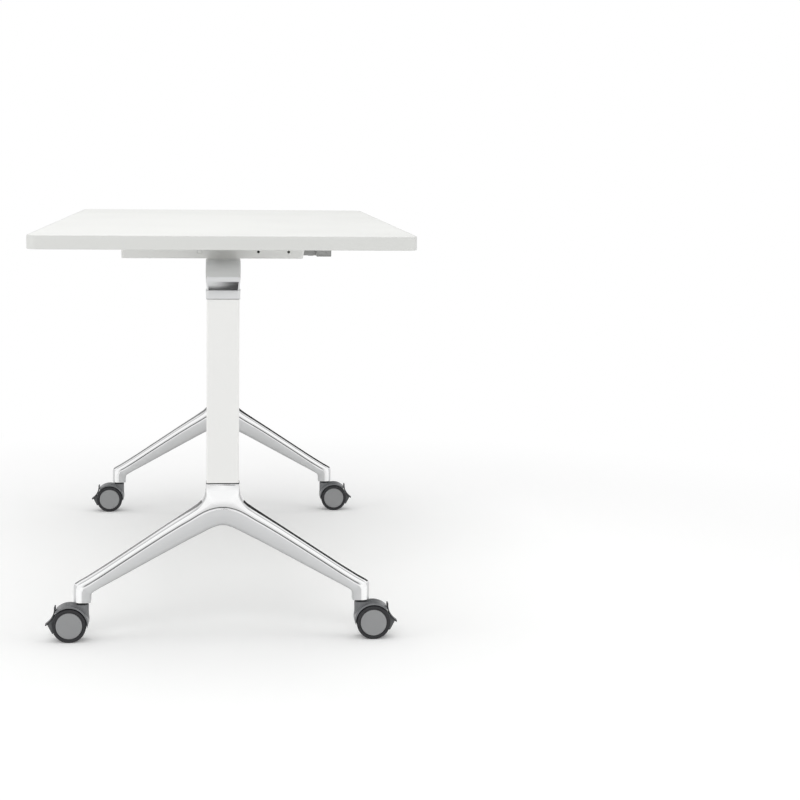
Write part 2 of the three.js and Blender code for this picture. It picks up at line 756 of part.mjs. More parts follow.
// Assembly: the two ends along Y, and the castors at the foot tips.
boardAndBand();
const ends = [['near', -1], ['far', 1]];
for (const [end, way] of ends) {
  const rail_group = new THREE.Group();
  rail_group.position.y = way * rail_y;
  addPiece(rail_group, `${end}_rail`, railSolid(), 'white_paint');
  const pin = barAlongY(hinge_pin_radius, rail_width - rail_sheet / 2, hinge_x, 0, hinge_z);
  addPiece(rail_group, `${end}_hinge_pin`, pin, 'white_paint');
  addPiece(rail_group, `${end}_hinge_arm`, hingeArmSolid(), 'white_paint');
  addPiece(rail_group, `${end}_catch_bolt`, catchBoltSolid(), 'dark_bolt');
  addPiece(rail_group, `${end}_release_arm`, releaseArmSolid(), 'white_paint');
  addPiece(rail_group, `${end}_guide_screw`, guideScrewSolid(), 'dark_bolt');
  table.add(rail_group);

  const leg_group = new THREE.Group();
  leg_group.position.y = way * leg_y;
  leg_group.rotation.z = way < 0 ? 0 : Math.PI;
  addPiece(leg_group, `${end}_foot`, footSolid(), 'polished');
  addPiece(leg_group, `${end}_post`, postSolid(), 'white_paint');
  addPiece(leg_group, `${end}_collar`, collarSolid(), 'polished');
  addPiece(leg_group, `${end}_elbow`, elbowSolid(), 'polished');
  table.add(leg_group);

  for (const [flank, sign] of [['left', -1], ['right', 1]]) {
    const castor = new THREE.Group();
    castor.position.set(sign * stem_reach, way * leg_y, 0);
    castor.rotation.z = sign < 0 ? 0 : Math.PI;
    const name = `${end}_${flank}`;
    addPiece(castor, `${name}_stem`, castorStemSolid(), 'pedal_black');
    addPiece(castor, `${name}_housing`, castorHousingSolid(), 'castor_grey');
    addPiece(castor, `${name}_axle`, castorAxleSolid(), 'steel');
    for (const side of [1, -1]) {
      const along_y = sign < 0 ? side : -side;
      const place = along_y === way ? 'outer' : 'inner';
      addPiece(castor, `${name}_${place}_tyre`, tyreSolid(side), 'tyre');
      addPiece(castor, `${name}_${place}_hub`, hubSolid(side), 'hub_grey');
    }
    addPiece(castor, `${name}_brake_pedal`, brakePedalSolid(), 'pedal_black');
    table.add(castor);
  }
}
addPiece(table, 'crossbar', crossbarSolid(), 'white_paint');
addPiece(table, 'release_bar', releaseBarSolid(), 'white_paint');
addPiece(table, 'release_grip', releaseGripSolid(), 'red_grip');

export default table;
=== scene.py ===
# %% [markdown]
# # Dressing a flip top training table
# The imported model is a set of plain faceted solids. This lesson keeps every solid where it is and
# gives the table its finish: a laminated top, powder-coated tubes, polished castings and moulded castors.
# The frame is loaded first, because every new piece takes its place and its body from it.

# %% Load the frame
import math
import bpy
import bmesh
from mathutils import Matrix, Vector


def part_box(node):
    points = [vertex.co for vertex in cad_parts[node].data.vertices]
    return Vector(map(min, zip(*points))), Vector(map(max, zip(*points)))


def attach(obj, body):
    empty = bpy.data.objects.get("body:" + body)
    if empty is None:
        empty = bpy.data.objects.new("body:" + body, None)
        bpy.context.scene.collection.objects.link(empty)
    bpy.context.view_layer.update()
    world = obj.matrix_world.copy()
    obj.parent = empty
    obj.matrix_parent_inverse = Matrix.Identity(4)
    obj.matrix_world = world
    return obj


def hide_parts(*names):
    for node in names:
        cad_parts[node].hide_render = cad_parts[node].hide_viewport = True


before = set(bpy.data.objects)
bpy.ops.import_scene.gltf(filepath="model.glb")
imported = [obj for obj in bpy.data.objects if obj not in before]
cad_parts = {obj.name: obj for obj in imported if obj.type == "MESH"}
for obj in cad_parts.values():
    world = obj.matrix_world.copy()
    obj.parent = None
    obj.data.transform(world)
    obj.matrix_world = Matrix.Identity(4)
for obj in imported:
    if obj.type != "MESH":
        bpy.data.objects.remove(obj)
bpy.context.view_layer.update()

ends = {"near": -1, "far": 1}
flanks = {"left": -1, "right": 1}

# %% [markdown]
# ## Camera
# The photographer stood a little higher than the table top, square to its short end, with a long lens.
# Part of the framing comes from a small lens shift and the rest from turning the camera.
# A larger shift would match the upright lines a little better, but it would cut other views of the table.

# %% Camera
def rotation(degrees, axis):
    return Matrix.Rotation(math.radians(degrees), 4, axis)


camera_data = bpy.data.cameras.new("end_view")
camera_data.sensor_width = 36
camera_data.lens = 80.85
camera_data.shift_x = 0.045
camera_data.shift_y = -0.14
camera = bpy.data.objects.new("end_view", camera_data)
bpy.context.scene.collection.objects.link(camera)
standpoint = Matrix.Translation((-0.0032, -3.9119, 0.9117))
turn = rotation(-4.551, "Z")
tip = rotation(-4.380, "X")
roll = rotation(-0.490, "Y")
upright = rotation(90, "X")
camera.matrix_world = standpoint @ turn @ tip @ roll @ upright
bpy.context.scene.camera = camera
print("camera at", [round(v, 3) for v in camera.location], "lens", camera_data.lens)

# %% [markdown]
# ## Shared surface effects
# Paint, laminate and moulded plastic are never quite even, and polished metal carries marks from the
# buffing wheel. One node group makes each of these two kinds. Both mix a light and a dark colour, vary the
# gloss within a range, and put out a colour, a roughness and a height, so they share their start.

# %% Node helpers
def add_node(tree, kind, inputs=(), **values):
    node = tree.nodes.new(f"ShaderNode{kind}")
    for name, value in values.items():
        setattr(node, name, value)
    for socket, value in dict(inputs).items():
        node.inputs[socket].default_value = value
    return node


def wire(tree, *pairs):
    for source, target in pairs:
        tree.links.new(source, target)


shared_inputs = (("Light", "Color"), ("Dark", "Color"), ("Gloss Low", "Float"), ("Gloss High", "Float"))
shared_outputs = (("Colour", "Color"), ("Roughness", "Float"), ("Height", "Float"))


def start_group(name, *own_inputs):
    group = bpy.data.node_groups.new(name, "ShaderNodeTree")
    for sockets, way in ((shared_inputs + own_inputs, "INPUT"), (shared_outputs, "OUTPUT")):
        for socket, kind in sockets:
            group.interface.new_socket(socket, in_out=way, socket_type=f"NodeSocket{kind}")
    given, made = group.nodes.new("NodeGroupInput"), group.nodes.new("NodeGroupOutput")
    place = add_node(group, "TexCoord")
    tint = add_node(group, "Mix", data_type="RGBA")
    gloss = add_node(group, "MapRange")
    wire(group,
         (given.outputs["Dark"], tint.inputs["A"]),
         (given.outputs["Light"], tint.inputs["B"]),
         (given.outputs["Gloss Low"], gloss.inputs["To Min"]),
         (given.outputs["Gloss High"], gloss.inputs["To Max"]),
         (gloss.outputs["Result"], made.inputs["Roughness"]))
    return group, given, made, place, tint, gloss


print("shared sockets", len(shared_inputs), "in,", len(shared_outputs), "out")

# %% [markdown]
# On paint, laminate and plastic, a slow noise drifts the colour and the gloss, and a fine one is the
# texture that breaks up highlights. Each finish gives its own scales, in cycles per metre.

# %% Uneven finish group
uneven_group, given, made, place, tint, gloss = start_group(
    "uneven_finish", ("Drift Scale", "Float"), ("Texture Scale", "Float"))
drift = add_node(uneven_group, "TexNoise", {"Detail": 3})
texture = add_node(uneven_group, "TexNoise", {"Detail": 2})
wire(uneven_group,
     (place.outputs["Object"], drift.inputs["Vector"]),
     (place.outputs["Object"], texture.inputs["Vector"]),
     (given.outputs["Drift Scale"], drift.inputs["Scale"]),
     (given.outputs["Texture Scale"], texture.inputs["Scale"]),
     (drift.outputs["Fac"], tint.inputs["Factor"]),
     (drift.outputs["Fac"], gloss.inputs["Value"]),
     (tint.outputs["Result"], made.inputs["Colour"]),
     (texture.outputs["Fac"], made.inputs["Height"]))
print("group", uneven_group.name, "nodes", len(uneven_group.nodes))

# %% [markdown]
# Buffing marks run one way, so this group stretches a noise by three scales, one for each axis. It also
# paints shade: where a piece carries the shade mask attribute, the colour is darkened towards a painted shade
# colour.

# %% Buffed metal group
buffed_group, given, made, place, tint, gloss = start_group(
    "buffed_metal", ("Stretch", "Vector"), ("Painted Shade", "Color"))
stretch = add_node(buffed_group, "VectorMath", operation="MULTIPLY")
marks = add_node(buffed_group, "TexNoise", {"Scale": 1, "Detail": 4})
clouds = add_node(buffed_group, "TexNoise", {"Scale": 14, "Detail": 2})
# reads the mask of painted shade and painted dark reflected lines
groove = add_node(buffed_group, "Attribute", attribute_name="painted_shade_mask")
shade_mix = add_node(buffed_group, "Mix", data_type="RGBA")
wire(buffed_group,
     (place.outputs["Object"], stretch.inputs[0]),
     (given.outputs["Stretch"], stretch.inputs[1]),
     (stretch.outputs["Vector"], marks.inputs["Vector"]),
     (place.outputs["Object"], clouds.inputs["Vector"]),
     (marks.outputs["Fac"], tint.inputs["Factor"]),
     (clouds.outputs["Fac"], gloss.inputs["Value"]),
     (groove.outputs["Fac"], shade_mix.inputs["Factor"]),
     (tint.outputs["Result"], shade_mix.inputs["A"]),
     (given.outputs["Painted Shade"], shade_mix.inputs["B"]),
     (shade_mix.outputs["Result"], made.inputs["Colour"]),
     (marks.outputs["Fac"], made.inputs["Height"]))
print("group", buffed_group.name, "nodes", len(buffed_group.nodes))

# %% [markdown]
# ## Finishes
# Each finish is one Principled shader fed by one of the two groups. It is given a light and a dark colour,
# the scales of its noises, its range of gloss and, last, how far the fine texture stands out. That height
# is in metres, so it keeps its real size on every piece.

# %% Finish makers
# colour of the painted shade and painted dark reflected lines on the castings
painted_shade_colour = (0.05, 0.05, 0.052, 1)


def new_material(name):
    material = bpy.data.materials.new(name)
    material.use_nodes = True
    tree = material.node_tree
    return material, tree, tree.nodes["Principled BSDF"]


def new_finish(name, group, light, dark, gloss, texture_height, inputs, **constants):
    material, tree, shader = new_material(name)
    inputs |= {"Light": (*light, 1), "Dark": (*dark, 1), "Gloss Low": gloss[0], "Gloss High": gloss[1]}
    effect = add_node(tree, "Group", inputs, node_tree=group)
    bump = add_node(tree, "Bump", {"Strength": 1, "Distance": texture_height})
    wire(tree,
         (effect.outputs["Colour"], shader.inputs["Base Color"]),
         (effect.outputs["Roughness"], shader.inputs["Roughness"]),
         (effect.outputs["Height"], bump.inputs["Height"]),
         (bump.outputs["Normal"], shader.inputs["Normal"]))
    for socket, value in constants.items():
        shader.inputs[socket.replace("_", " ")].default_value = value
    return material


def uneven_finish(name, light, dark, drift, texture, gloss, texture_height, **constants):
    inputs = {"Drift Scale": drift, "Texture Scale": texture}
    return new_finish(name, uneven_group, light, dark, gloss, texture_height, inputs, **constants)


def buffed_finish(name, light, dark, stretch, gloss, texture_height):
    inputs = {"Stretch": stretch, "Painted Shade": painted_shade_colour}
    return new_finish(name, buffed_group, light, dark, gloss, texture_height, inputs, Metallic=1)


# %% Whites: laminate, edging, powder coat, and the powder coat's white painted darker on the rails as shade
laminate = uneven_finish(
    "white_laminate", (0.91, 0.915, 0.895), (0.88, 0.885, 0.865), 6, 700, (0.44, 0.56), 0.00001,
    Specular_IOR_Level=0.05)
band_plastic = uneven_finish(
    "white_edging", (0.715, 0.72, 0.70), (0.69, 0.695, 0.675), 9, 500, (0.32, 0.42), 0.00001)
powder_coat = uneven_finish(
    "white_powder_coat", (0.87, 0.87, 0.855), (0.84, 0.84, 0.825), 8, 650, (0.30, 0.42), 0.00002)
# the powder coat's white painted darker, for the shade the rails lie in under the top
shaded_rail_coat = uneven_finish(
    "shaded_white_rail_coat", (0.80, 0.80, 0.785), (0.77, 0.77, 0.755), 8, 650, (0.30, 0.42), 0.00002)
print("whites", [m.name for m in (laminate, band_plastic, powder_coat, shaded_rail_coat)])

# %% Metals: castings, bright trim, dark bolts and plain steel
polished = buffed_finish(
    "polished_casting", (0.96, 0.963, 0.966), (0.90, 0.903, 0.906), (30, 700, 500), (0.08, 0.15), 0.000002)
elbow_chrome = buffed_finish(
    "elbow_casting", (0.70, 0.705, 0.71), (0.64, 0.645, 0.65), (60, 700, 500), (0.08, 0.15), 0.000002)
satin = buffed_finish(
    "satin_casting", (0.70, 0.705, 0.71), (0.64, 0.645, 0.65), (60, 900, 900), (0.32, 0.42), 0.000005)
bright_trim = buffed_finish(
    "bright_trim", (0.72, 0.725, 0.73), (0.67, 0.675, 0.68), (60, 60, 900), (0.06, 0.12), 0.000003)
dark_bolt = uneven_finish(
    "blackened_bolt", (0.075, 0.075, 0.08), (0.045, 0.045, 0.05), 60, 900, (0.32, 0.46), 0.00002,
    Metallic=0.8)
steel = buffed_finish(
    "turned_steel", (0.55, 0.55, 0.56), (0.42, 0.42, 0.43), (900, 60, 900), (0.25, 0.38), 0.000006)
print("metals", [m.name for m in (polished, elbow_chrome, satin, bright_trim, dark_bolt, steel)])

# %% Plastics and rubber
red_sleeve = uneven_finish(
    "red_sleeve", (0.62, 0.022, 0.020), (0.50, 0.014, 0.014), 25, 420, (0.42, 0.55), 0.00005)
housing_grey = uneven_finish(
    "castor_grey", (0.185, 0.190, 0.197), (0.145, 0.148, 0.155), 40, 800, (0.26, 0.38), 0.00003)
hub_grey = uneven_finish(
    "hub_grey", (0.315, 0.318, 0.322), (0.275, 0.278, 0.282), 30, 900, (0.40, 0.52), 0.00003)
tyre_rubber = uneven_finish(
    "tyre_rubber", (0.024, 0.024, 0.026), (0.014, 0.014, 0.016), 45, 700, (0.55, 0.75), 0.00005)
pedal_black = uneven_finish(
    "pedal_black", (0.036, 0.037, 0.040), (0.022, 0.023, 0.025), 50, 900, (0.34, 0.48), 0.00003)
stem_black = uneven_finish(
    "stem_black", (0.012, 0.012, 0.013), (0.008, 0.008, 0.009), 50, 900, (0.55, 0.70), 0.00003)
pedal_grey = uneven_finish(
    "pedal_grey", (0.115, 0.118, 0.122), (0.085, 0.088, 0.092), 50, 900, (0.38, 0.52), 0.00003)
# a grey that paints shade on the white release arms and the bar's end plugs
shade_grey = uneven_finish(
    "shade_grey", (0.36, 0.36, 0.355), (0.31, 0.31, 0.305), 40, 700, (0.38, 0.50), 0.00002)
print("castor plastics", [m.name for m in (housing_grey, hub_grey, pedal_black, pedal_grey)])
print("other plastics", [m.name for m in (red_sleeve, tyre_rubber, stem_black, shade_grey)])

# %% [markdown]
# ## Putting a finished mesh in the scene
# A bmesh becomes an object at the origin, so that patterns on Object coordinates stay put. Every piece is
# told which body it rides on and which solid it stands for. Normals are weighted by face size, so that
# wide flat faces stay flat beside their rounded edges.

# %% Piece helpers
piece_count = 0


def mesh_object(name, bm):
    mesh = bpy.data.meshes.new(name)
    bm.to_mesh(mesh)
    bm.free()
    item = bpy.data.objects.new(name, mesh)
    bpy.context.scene.collection.objects.link(item)
    return item


def add_piece(name, bm, looks, body, slot, *stands_for, even=True, crease_angle=40):
    global piece_count
    bmesh.ops.recalc_face_normals(bm, faces=bm.faces[:])
    piece = mesh_object(name, bm)
    piece.data.shade_smooth()
    piece.data.set_sharp_from_angle(angle=math.radians(crease_angle))
    for look in looks:
        piece.data.materials.append(look)
    if even:
        piece.modifiers.new("even_normals", "WEIGHTED_NORMAL").keep_sharp = True
    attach(piece, body)
    if stands_for:
        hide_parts(*stands_for)
    piece_count += 1
    return piece


# %% [markdown]
# ## Boxes with rounded corners
# The board, the tubes and the release bar are all bars with one long direction. A cube is scaled to its
# box, the four edges along that direction are bevelled into corners, and then the rims of the two end
# faces are bevelled. Bevelling in two steps gives corners and rims their own radius.

# %% Rounded bar helpers
width_axis, length_axis, height_axis = 0, 1, 2
level_slack = 1e-5
square_on = 0.999
cap_share = 0.9


def bevel(bm, geom, offset, steps, affect="EDGES", clamp=False):
    bmesh.ops.bevel(bm, geom=geom, offset=offset, offset_type="OFFSET", affect=affect,
                    segments=steps, profile=0.5, material=-1, clamp_overlap=clamp)


def span(edge, axis):
    return abs(edge.verts[0].co[axis] - edge.verts[1].co[axis])


def rounded_bar(low, high, axis, corner, corner_steps, rim=0, rim_steps=3):
    bm = bmesh.new()
    bmesh.ops.create_cube(bm, size=1)
    bmesh.ops.scale(bm, vec=high - low, verts=bm.verts)
    bmesh.ops.translate(bm, vec=(low + high) / 2, verts=bm.verts)
    bevel(bm, [e for e in bm.edges if span(e, axis) > level_slack], corner, corner_steps)
    if rim:
        bevel(bm, [e for e in bm.edges if span(e, axis) < level_slack], rim, rim_steps)
    return bm


def hollow_out(bm, axis, wall):
    caps = [f for f in bm.faces if abs(f.normal[axis]) > square_on]
    biggest = max(f.calc_area() for f in caps)
    caps = [f for f in caps if f.calc_area() > cap_share * biggest]
    bmesh.ops.inset_region(bm, faces=caps, thickness=wall, use_even_offset=True)
    bmesh.ops.delete(bm, geom=caps, context="FACES")
    bmesh.ops.bridge_loops(bm, edges=[e for e in bm.edges if e.is_boundary])


# %% [markdown]
# ## Top
# The top is a laminated board with an edging glued round it. The edging is the same rounded slab with its
# middle taken out: both flat faces are inset to leave the edging's thickness, the inner faces are removed,
# and the two openings are bridged.

# %% Board and edging
board_corner = 0.0227
edging_corner = 0.025
edging_thickness = 0.002
edging_round = 0.0015
low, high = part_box("tabletop")
board = rounded_bar(low, high, height_axis, board_corner, 12)
add_piece("laminated_board", board, [laminate], "top", "laminate", "tabletop")
low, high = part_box("edge_band")
edging = rounded_bar(low, high, height_axis, edging_corner, 12, edging_round, 4)
hollow_out(edging, height_axis, edging_thickness - edging_round)
add_piece("edging", edging, [band_plastic], "top", "edge_band", "edge_band")
print("top", [round(v, 4) for v in (high - low)], "pieces", piece_count)

# %% [markdown]
# ## Posts and crossbar
# These are drawn steel tubes with tight corners. They are plugged at both ends, so a closed bar shows all
# that is seen of them.

# %% Tubes
tube_corner = 0.004
tube_rim = 0.0004
for node, axis in (("near_post", height_axis), ("far_post", height_axis), ("crossbar", length_axis)):
    low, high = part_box(node)
    tube = rounded_bar(low, high, axis, tube_corner, 6, tube_rim, 2)
    add_piece(f"{node}_tube", tube, [powder_coat], "frame", "white_paint", node)
    print(node, [round(v, 3) for v in (high - low)], "pieces", piece_count)

# %% [markdown]
# ## Elbows and collars
# Each leg turns into the crossbar through a polished quarter-round casting. It is one section swept along
# its path: a face at the crossbar is extruded to the bend, spun a quarter turn and extruded down. The
# sweep leaves a face inside at each change of direction, and those are deleted.

# %% Elbow sweep
seat_gap = 0.0003
elbow_width = 0.064
elbow_over = 0.003
bend_reach = 0.0242
bend_drop = 0.0002
bend_steps = 14
merge_distance = 1e-6


def verts_of(geom):
    return [g for g in geom if isinstance(g, bmesh.types.BMVert)]


def faces_of(geom):
    return [g for g in geom if isinstance(g, bmesh.types.BMFace)]


def grow(bm, faces, vec):
    grown = bmesh.ops.extrude_face_region(bm, geom=faces)["geom"]
    bmesh.ops.translate(bm, vec=vec, verts=verts_of(grown))
    return faces_of(grown)


def flat_section(bm, width, depth):
    bmesh.ops.create_grid(bm, x_segments=1, y_segments=1, size=0.5)
    bmesh.ops.scale(bm, vec=(width, depth, 1), verts=bm.verts)


def swept_elbow(end, bottom):
    way = ends[end]
    post_low, post_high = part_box(f"{end}_post")
    bar_low, bar_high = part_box("crossbar")
    top = bar_high.z + elbow_over
    floor = bar_low.z - elbow_over
    post_y = (post_low.y + post_high.y) / 2
    bend_y = post_y - way * bend_reach
    bar_y = (bar_low.y if way < 0 else bar_high.y) + way * seat_gap
    bm = bmesh.new()
    flat_section(bm, elbow_width, top - floor)
    bmesh.ops.rotate(bm, matrix=rotation(90, "X"), verts=bm.verts)
    bmesh.ops.translate(bm, vec=(0, bar_y, (top + floor) / 2), verts=bm.verts)
    last = grow(bm, bm.faces[:], (0, bend_y - bar_y, 0))
    spun = bmesh.ops.spin(bm, geom=last, cent=(0, bend_y, floor - bend_drop), axis=(1, 0, 0),
                          angle=math.radians(-90 * way), steps=bend_steps, use_merge=False)
    last = faces_of(spun["geom_last"])
    grow(bm, last, (0, 0, bottom - min(v.co.z for f in last for v in f.verts)))
    bmesh.ops.remove_doubles(bm, verts=bm.verts[:], dist=merge_distance)
    inside = [f for f in bm.faces if all(len(e.link_faces) > 2 for e in f.edges)]
    bmesh.ops.delete(bm, geom=inside, context="FACES_ONLY")
    return bm


# %% [markdown]
# The flanks draw in towards a narrow waist above the collar, and the edges along the sweep are rounded.
# The collar is a bright ring round the post, a little narrower at its foot, with a painted shadow line there.

# %% Waist and rounded edges
waist_width = 0.0592
waist_drop = 0.022
elbow_round = 0.003
rim_clear = 0.0005
sweep_drift = 0.002


def sharp_edges(bm, degrees):
    bmesh.ops.recalc_face_normals(bm, faces=bm.faces[:])
    return [e for e in bm.edges if len(e.link_faces) == 2 and e.calc_face_angle() > math.radians(degrees)]


def elbow(end):
    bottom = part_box(f"{end}_post")[1].z + seat_gap
    bm = swept_elbow(end, bottom)
    for v in bm.verts:
        fall = max(0, (bottom + waist_drop - v.co.z) / waist_drop)
        v.co.x *= 1 - fall * (1 - waist_width / elbow_width)
    outer = [e for e in sharp_edges(bm, 50) if any(v.co.z > bottom + rim_clear for v in e.verts)
             and span(e, width_axis) < sweep_drift]
    bevel(bm, outer, elbow_round, 4, clamp=True)
    return bm


print("elbow", elbow_width, "wide, waist", waist_width)

# %% Elbows and collars
collar_trim = Vector((0.0006, 0.0006, 0))
collar_corner = 0.0055
collar_round = 0.0010
collar_lip = 0.0005
collar_taper = 0.0007
shadow_line_share = 0.8


def collar(low, high):
    ring = rounded_bar(low + collar_trim, high - collar_trim, height_axis, collar_corner, 6, collar_round, 4)
    painted_shade_mask = ring.verts.layers.float.new("painted_shade_mask")
    hollow_out(ring, height_axis, collar_lip)
    middle = (low + high) / 2
    for vert in ring.verts:
        rise = (vert.co.z - low.z) / (high.z - low.z)
        away = Vector((vert.co.x - middle.x, vert.co.y - middle.y, 0))
        vert.co -= away.normalized() * collar_taper * (1 - rise)
        # the foot of the ring is painted dark as a shadow line
        vert[painted_shade_mask] = 1 if vert.co.z < low.z + shadow_line_share * collar_round else 0
    return ring


for end in ends:
    add_piece(f"{end}_elbow_casting", elbow(end), [elbow_chrome], "frame", "polished_casting",
              f"{end}_elbow", crease_angle=50)
    add_piece(f"{end}_collar_ring", collar(*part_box(f"{end}_collar")), [bright_trim], "frame",
              "polished_trim", f"{end}_collar")
print("elbows and collars, pieces", piece_count)

# %% [markdown]
# ## Cast feet
# A foot is a smooth casting: a neck that takes the post, two arms that fall to the castors, a satin web
# below and polished facets above, parted by a fine groove. It is made as a quarter cage, mirrored twice
# and smoothed by subdivision. Each station lists three points of the side view in millimetres (bottom,
# groove and top), the half thickness there, the half width of the ridge and the depth of the groove.
# The first stations turn about the bend, from level on the tip's floor to upright along the arm.

# %% Stations of the cage
tip_floor = 73.8
neck_top = 295.3
stations = [
    ((242.6, tip_floor), (262.2, tip_floor), (274.6, tip_floor), 15.8, 9.6, 0),
    ((242.6, 75.0), (262.2, 75.0), (274.8, 75.0), 15.8, 9.6, 0),
    ((242.6, 80.0), (262.2, 85.0), (274.9, 90.0), 15.8, 9.6, 0),
    ((242.5, 84.0), (261.6, 96.0), (274.9, 101.5), 15.8, 9.6, 0),
    ((242.2, 87.0), (258.5, 102.4), (273.6, 107.3), 15.8, 9.8, 0),
    ((241.2, 90.0), (252.5, 105.9), (266.6, 111.9), 15.8, 10.2, 1.0),
    ((239.5, 92.6), (245.0, 109.8), (255.0, 118.4), 15.8, 10.4, 2.2),
    ((236.5, 95.0), (237.0, 114.8), (243.5, 125.5), 15.8, 10.4, 2.4),
    ((231.0, 98.2), (228.5, 120.2), (231.5, 133.1), 15.8, 10.4, 2.4),
    ((222, 103.4), (217, 127.7), (218, 141.7), 15.8, 10.4, 2.4),
    ((190, 120.6), (186, 148.2), (187, 162.2), 15.8, 10.4, 2.4),
    ((150, 142.6), (146, 174.3), (147, 188.7), 15.8, 10.4, 2.4),
    ((110, 164.6), (107, 199.3), (108, 214.6), 15.9, 10.6, 2.4),
    ((82, 180.0), (80, 215.9), (81, 232.2), 16.6, 11.4, 2.4),
    ((60, 192.2), (60, 227.8), (61, 245.4), 18.4, 13.6, 2.4),
    ((43, 201.2), (45, 237.4), (47, 255.2), 20.2, 16.2, 2.4),
    ((30, 208.2), (34, 243.6), (38, 264.4), 21.2, 18.0, 2.4),
    ((20, 213.2), (24, 247.8), (33.2, 275.5), 21.4, 19.0, 2.4),
    ((10, 217.0), (12, 250.8), (31.6, 287.0), 21.4, 19.4, 2.4),
]
print("foot stations", len(stations))

# %% [markdown]
# The twelve levels of a station run from the middle of the underside to the middle of the ridge:
# underside, its edge, lip, lower side of the groove, its bottom, upper side, a steep roll, both sides of
# the line between two facets, the edge of the crest, its shoulder and its middle. From the arm to the
# neck, the upper levels bow out towards the tip. The last two rows cross the neck, with its upright sides.

# %% Levels of a station
lip_drop = 3.2
groove_half = 1.5
web_inset = 0.3
below_inset = 0.4
roll_share, roll_inset = 0.28, 0.025
facet_share, facet_inset, facet_step = 0.56, 0.42, 0.44
facet_line = 0.4
crest_share = 0.80
shoulder_share, shoulder_width = 0.965, 0.42
bend_start = 200
arm_bow = 2.2


def station_points(bottom, groove, top, half, crest, depth):
    web = half - web_inset * depth
    bow = arm_bow if groove[0] < bend_start else 1
    down = (Vector(bottom) - Vector(groove)).normalized()
    lip = Vector(groove) + lip_drop * down
    below = Vector(groove) + groove_half * down
    above = Vector(groove) - groove_half * down

    def between(share):
        sideways = 1 - (1 - share) ** bow
        return Vector((groove[0] + (top[0] - groove[0]) * sideways, groove[1] + (top[1] - groove[1]) * share))

    roll, facet, edge, shoulder = (
        between(share) for share in (roll_share, facet_share, crest_share, shoulder_share))
    return [
        (bottom[0], 0, bottom[1]),
        (bottom[0], web, bottom[1]),
        (lip.x, web, lip.y),
        (below.x, web - below_inset * depth, below.y),
        (groove[0], half - depth, groove[1]),
        (above.x, half, above.y),
        (roll.x, half - roll_inset * half, roll.y),
        (facet.x, half - facet_inset * (half - crest), facet.y),
        (facet.x, half - facet_step * (half - crest), facet.y + facet_line),
        (edge.x, crest, edge.y),
        (shoulder.x, shoulder_width * crest, shoulder.y),
        (top[0], 0, top[1]),
    ]


neck_rim = neck_top - 0.4
neck_rows = [
    [(5, 0, 218.1), (5, 20.7, 218.1), (5.5, 20.7, 248.4), (5.5, 19.9, 250.4), (5.5, 19.0, 251.7),
     (5.5, 21.4, 253.0), (12, 21.4, 263), (29.2, 21.2, 283), (29.3, 21.15, 283.4), (30.4, 20.4, neck_rim),
     (30.9, 19.9, neck_top), (30.9, 0, neck_top)],
    [(0, 0, 218.4), (0, 20.7, 218.4), (0, 20.7, 248.5), (0, 19.9, 250.5), (0, 19.0, 251.8),
     (0, 21.4, 253.1), (0, 21.4, 263), (0, 21.3, 283), (0, 21.3, 283.4), (0, 21.2, neck_rim),
     (0, 20.9, neck_top), (0, 0, neck_top)],
]
foot_rows = [station_points(*station) for station in stations] + neck_rows
print("foot rows", len(foot_rows), "levels", len(foot_rows[0]))

# %% [markdown]
# Creases keep the lines crisp that a plain subdivision would melt. The shade mask attribute paints shade
# and dark reflected lines into the colour: the underside's edge, the groove, the facet line, the neck's
# corners and the tip.

# %% Creases, dark lines and satin faces
row_crease = {1: 0.62, 2: 0.7, 3: 0.75, 4: 0.6, 5: 0.85, 7: 0.6, 8: 0.6, 9: 0.65}
neck_rim_levels = (9, 10)
neck_rim_edge = 10
# how much painted shade each level carries: underside edge, groove and the dark line between facets
groove_painted_shade = {1: 0.20, 3: 0.25, 4: 1.0, 5: 0.35, 8: 0.5}
tip_painted_shade = {1: 0.20, 2: 0.10}
neck_painted_shade = {(15, 9): 0.25, (16, 9): 0.5, (17, 9): 0.6, (18, 9): 0.6, (19, 9): 0.25,
             (16, 10): 0.5, (17, 10): 0.4, (18, 10): 0.3}
facet_level = 8
facet_line_end = 15
tip_rows = 4
web_levels = 2
crest_level = 8


def painted_shade_at(number, level):
    fades = number <= tip_rows or (level == facet_level and number > facet_line_end)
    shade_amount = (tip_painted_shade if fades else groove_painted_shade).get(level, 0)
    return neck_painted_shade.get((number, level), shade_amount)


def is_satin(number, level):
    return level < web_levels or (level >= crest_level and number <= tip_rows)


print("creased levels", len(row_crease), "darkened neck points", len(neck_painted_shade))

# %% [markdown]
# The quarter starts as one chain of edges at the tip, and the chain is extruded from row to row. After
# both mirrors the hole at each tip is filled, and a plug in the neck, painted dark as shadow, closes the gap
# to the post.

# %% Foot cage
shadow_plug_size = (57, 37, 20)
shadow_plug_rise = 3
leg_y = 0.604
millimetre = 0.001
mirror_merge = 1e-4


def grow_quarter(bm, crease, painted_shade_mask):
    chain = [bm.verts.new(p) for p in foot_rows[0]]
    edges = [bm.edges.new(pair) for pair in zip(chain, chain[1:])]
    for edge in edges:
        edge[crease] = 1
    for number, row in enumerate(foot_rows[1:], start=1):
        grown = set(bmesh.ops.extrude_edge_only(bm, edges=edges)["geom"])
        ahead = [next(e.other_vert(v) for e in v.link_edges if e in grown or e.other_vert(v) in grown)
                 for v in chain]
        for level, vert in enumerate(ahead):
            vert.co = row[level]
            # paints shade at this point of the cage
            vert[painted_shade_mask] = painted_shade_at(number, level)
            bm.edges.get((chain[level], vert))[crease] = row_crease.get(level, 0)
        edges = [bm.edges.get(pair) for pair in zip(ahead, ahead[1:])]
        for level, edge in enumerate(edges):
            newest = next(f for f in edge.link_faces if f in grown)
            newest.material_index = 1 if is_satin(number, level) else 0
        if number == len(foot_rows) - 2:
            edges[neck_rim_edge][crease] = 1
        if number == len(foot_rows) - 1:
            for level in neck_rim_levels:
                bm.edges.get((chain[level], ahead[level]))[crease] = 1
        chain = ahead


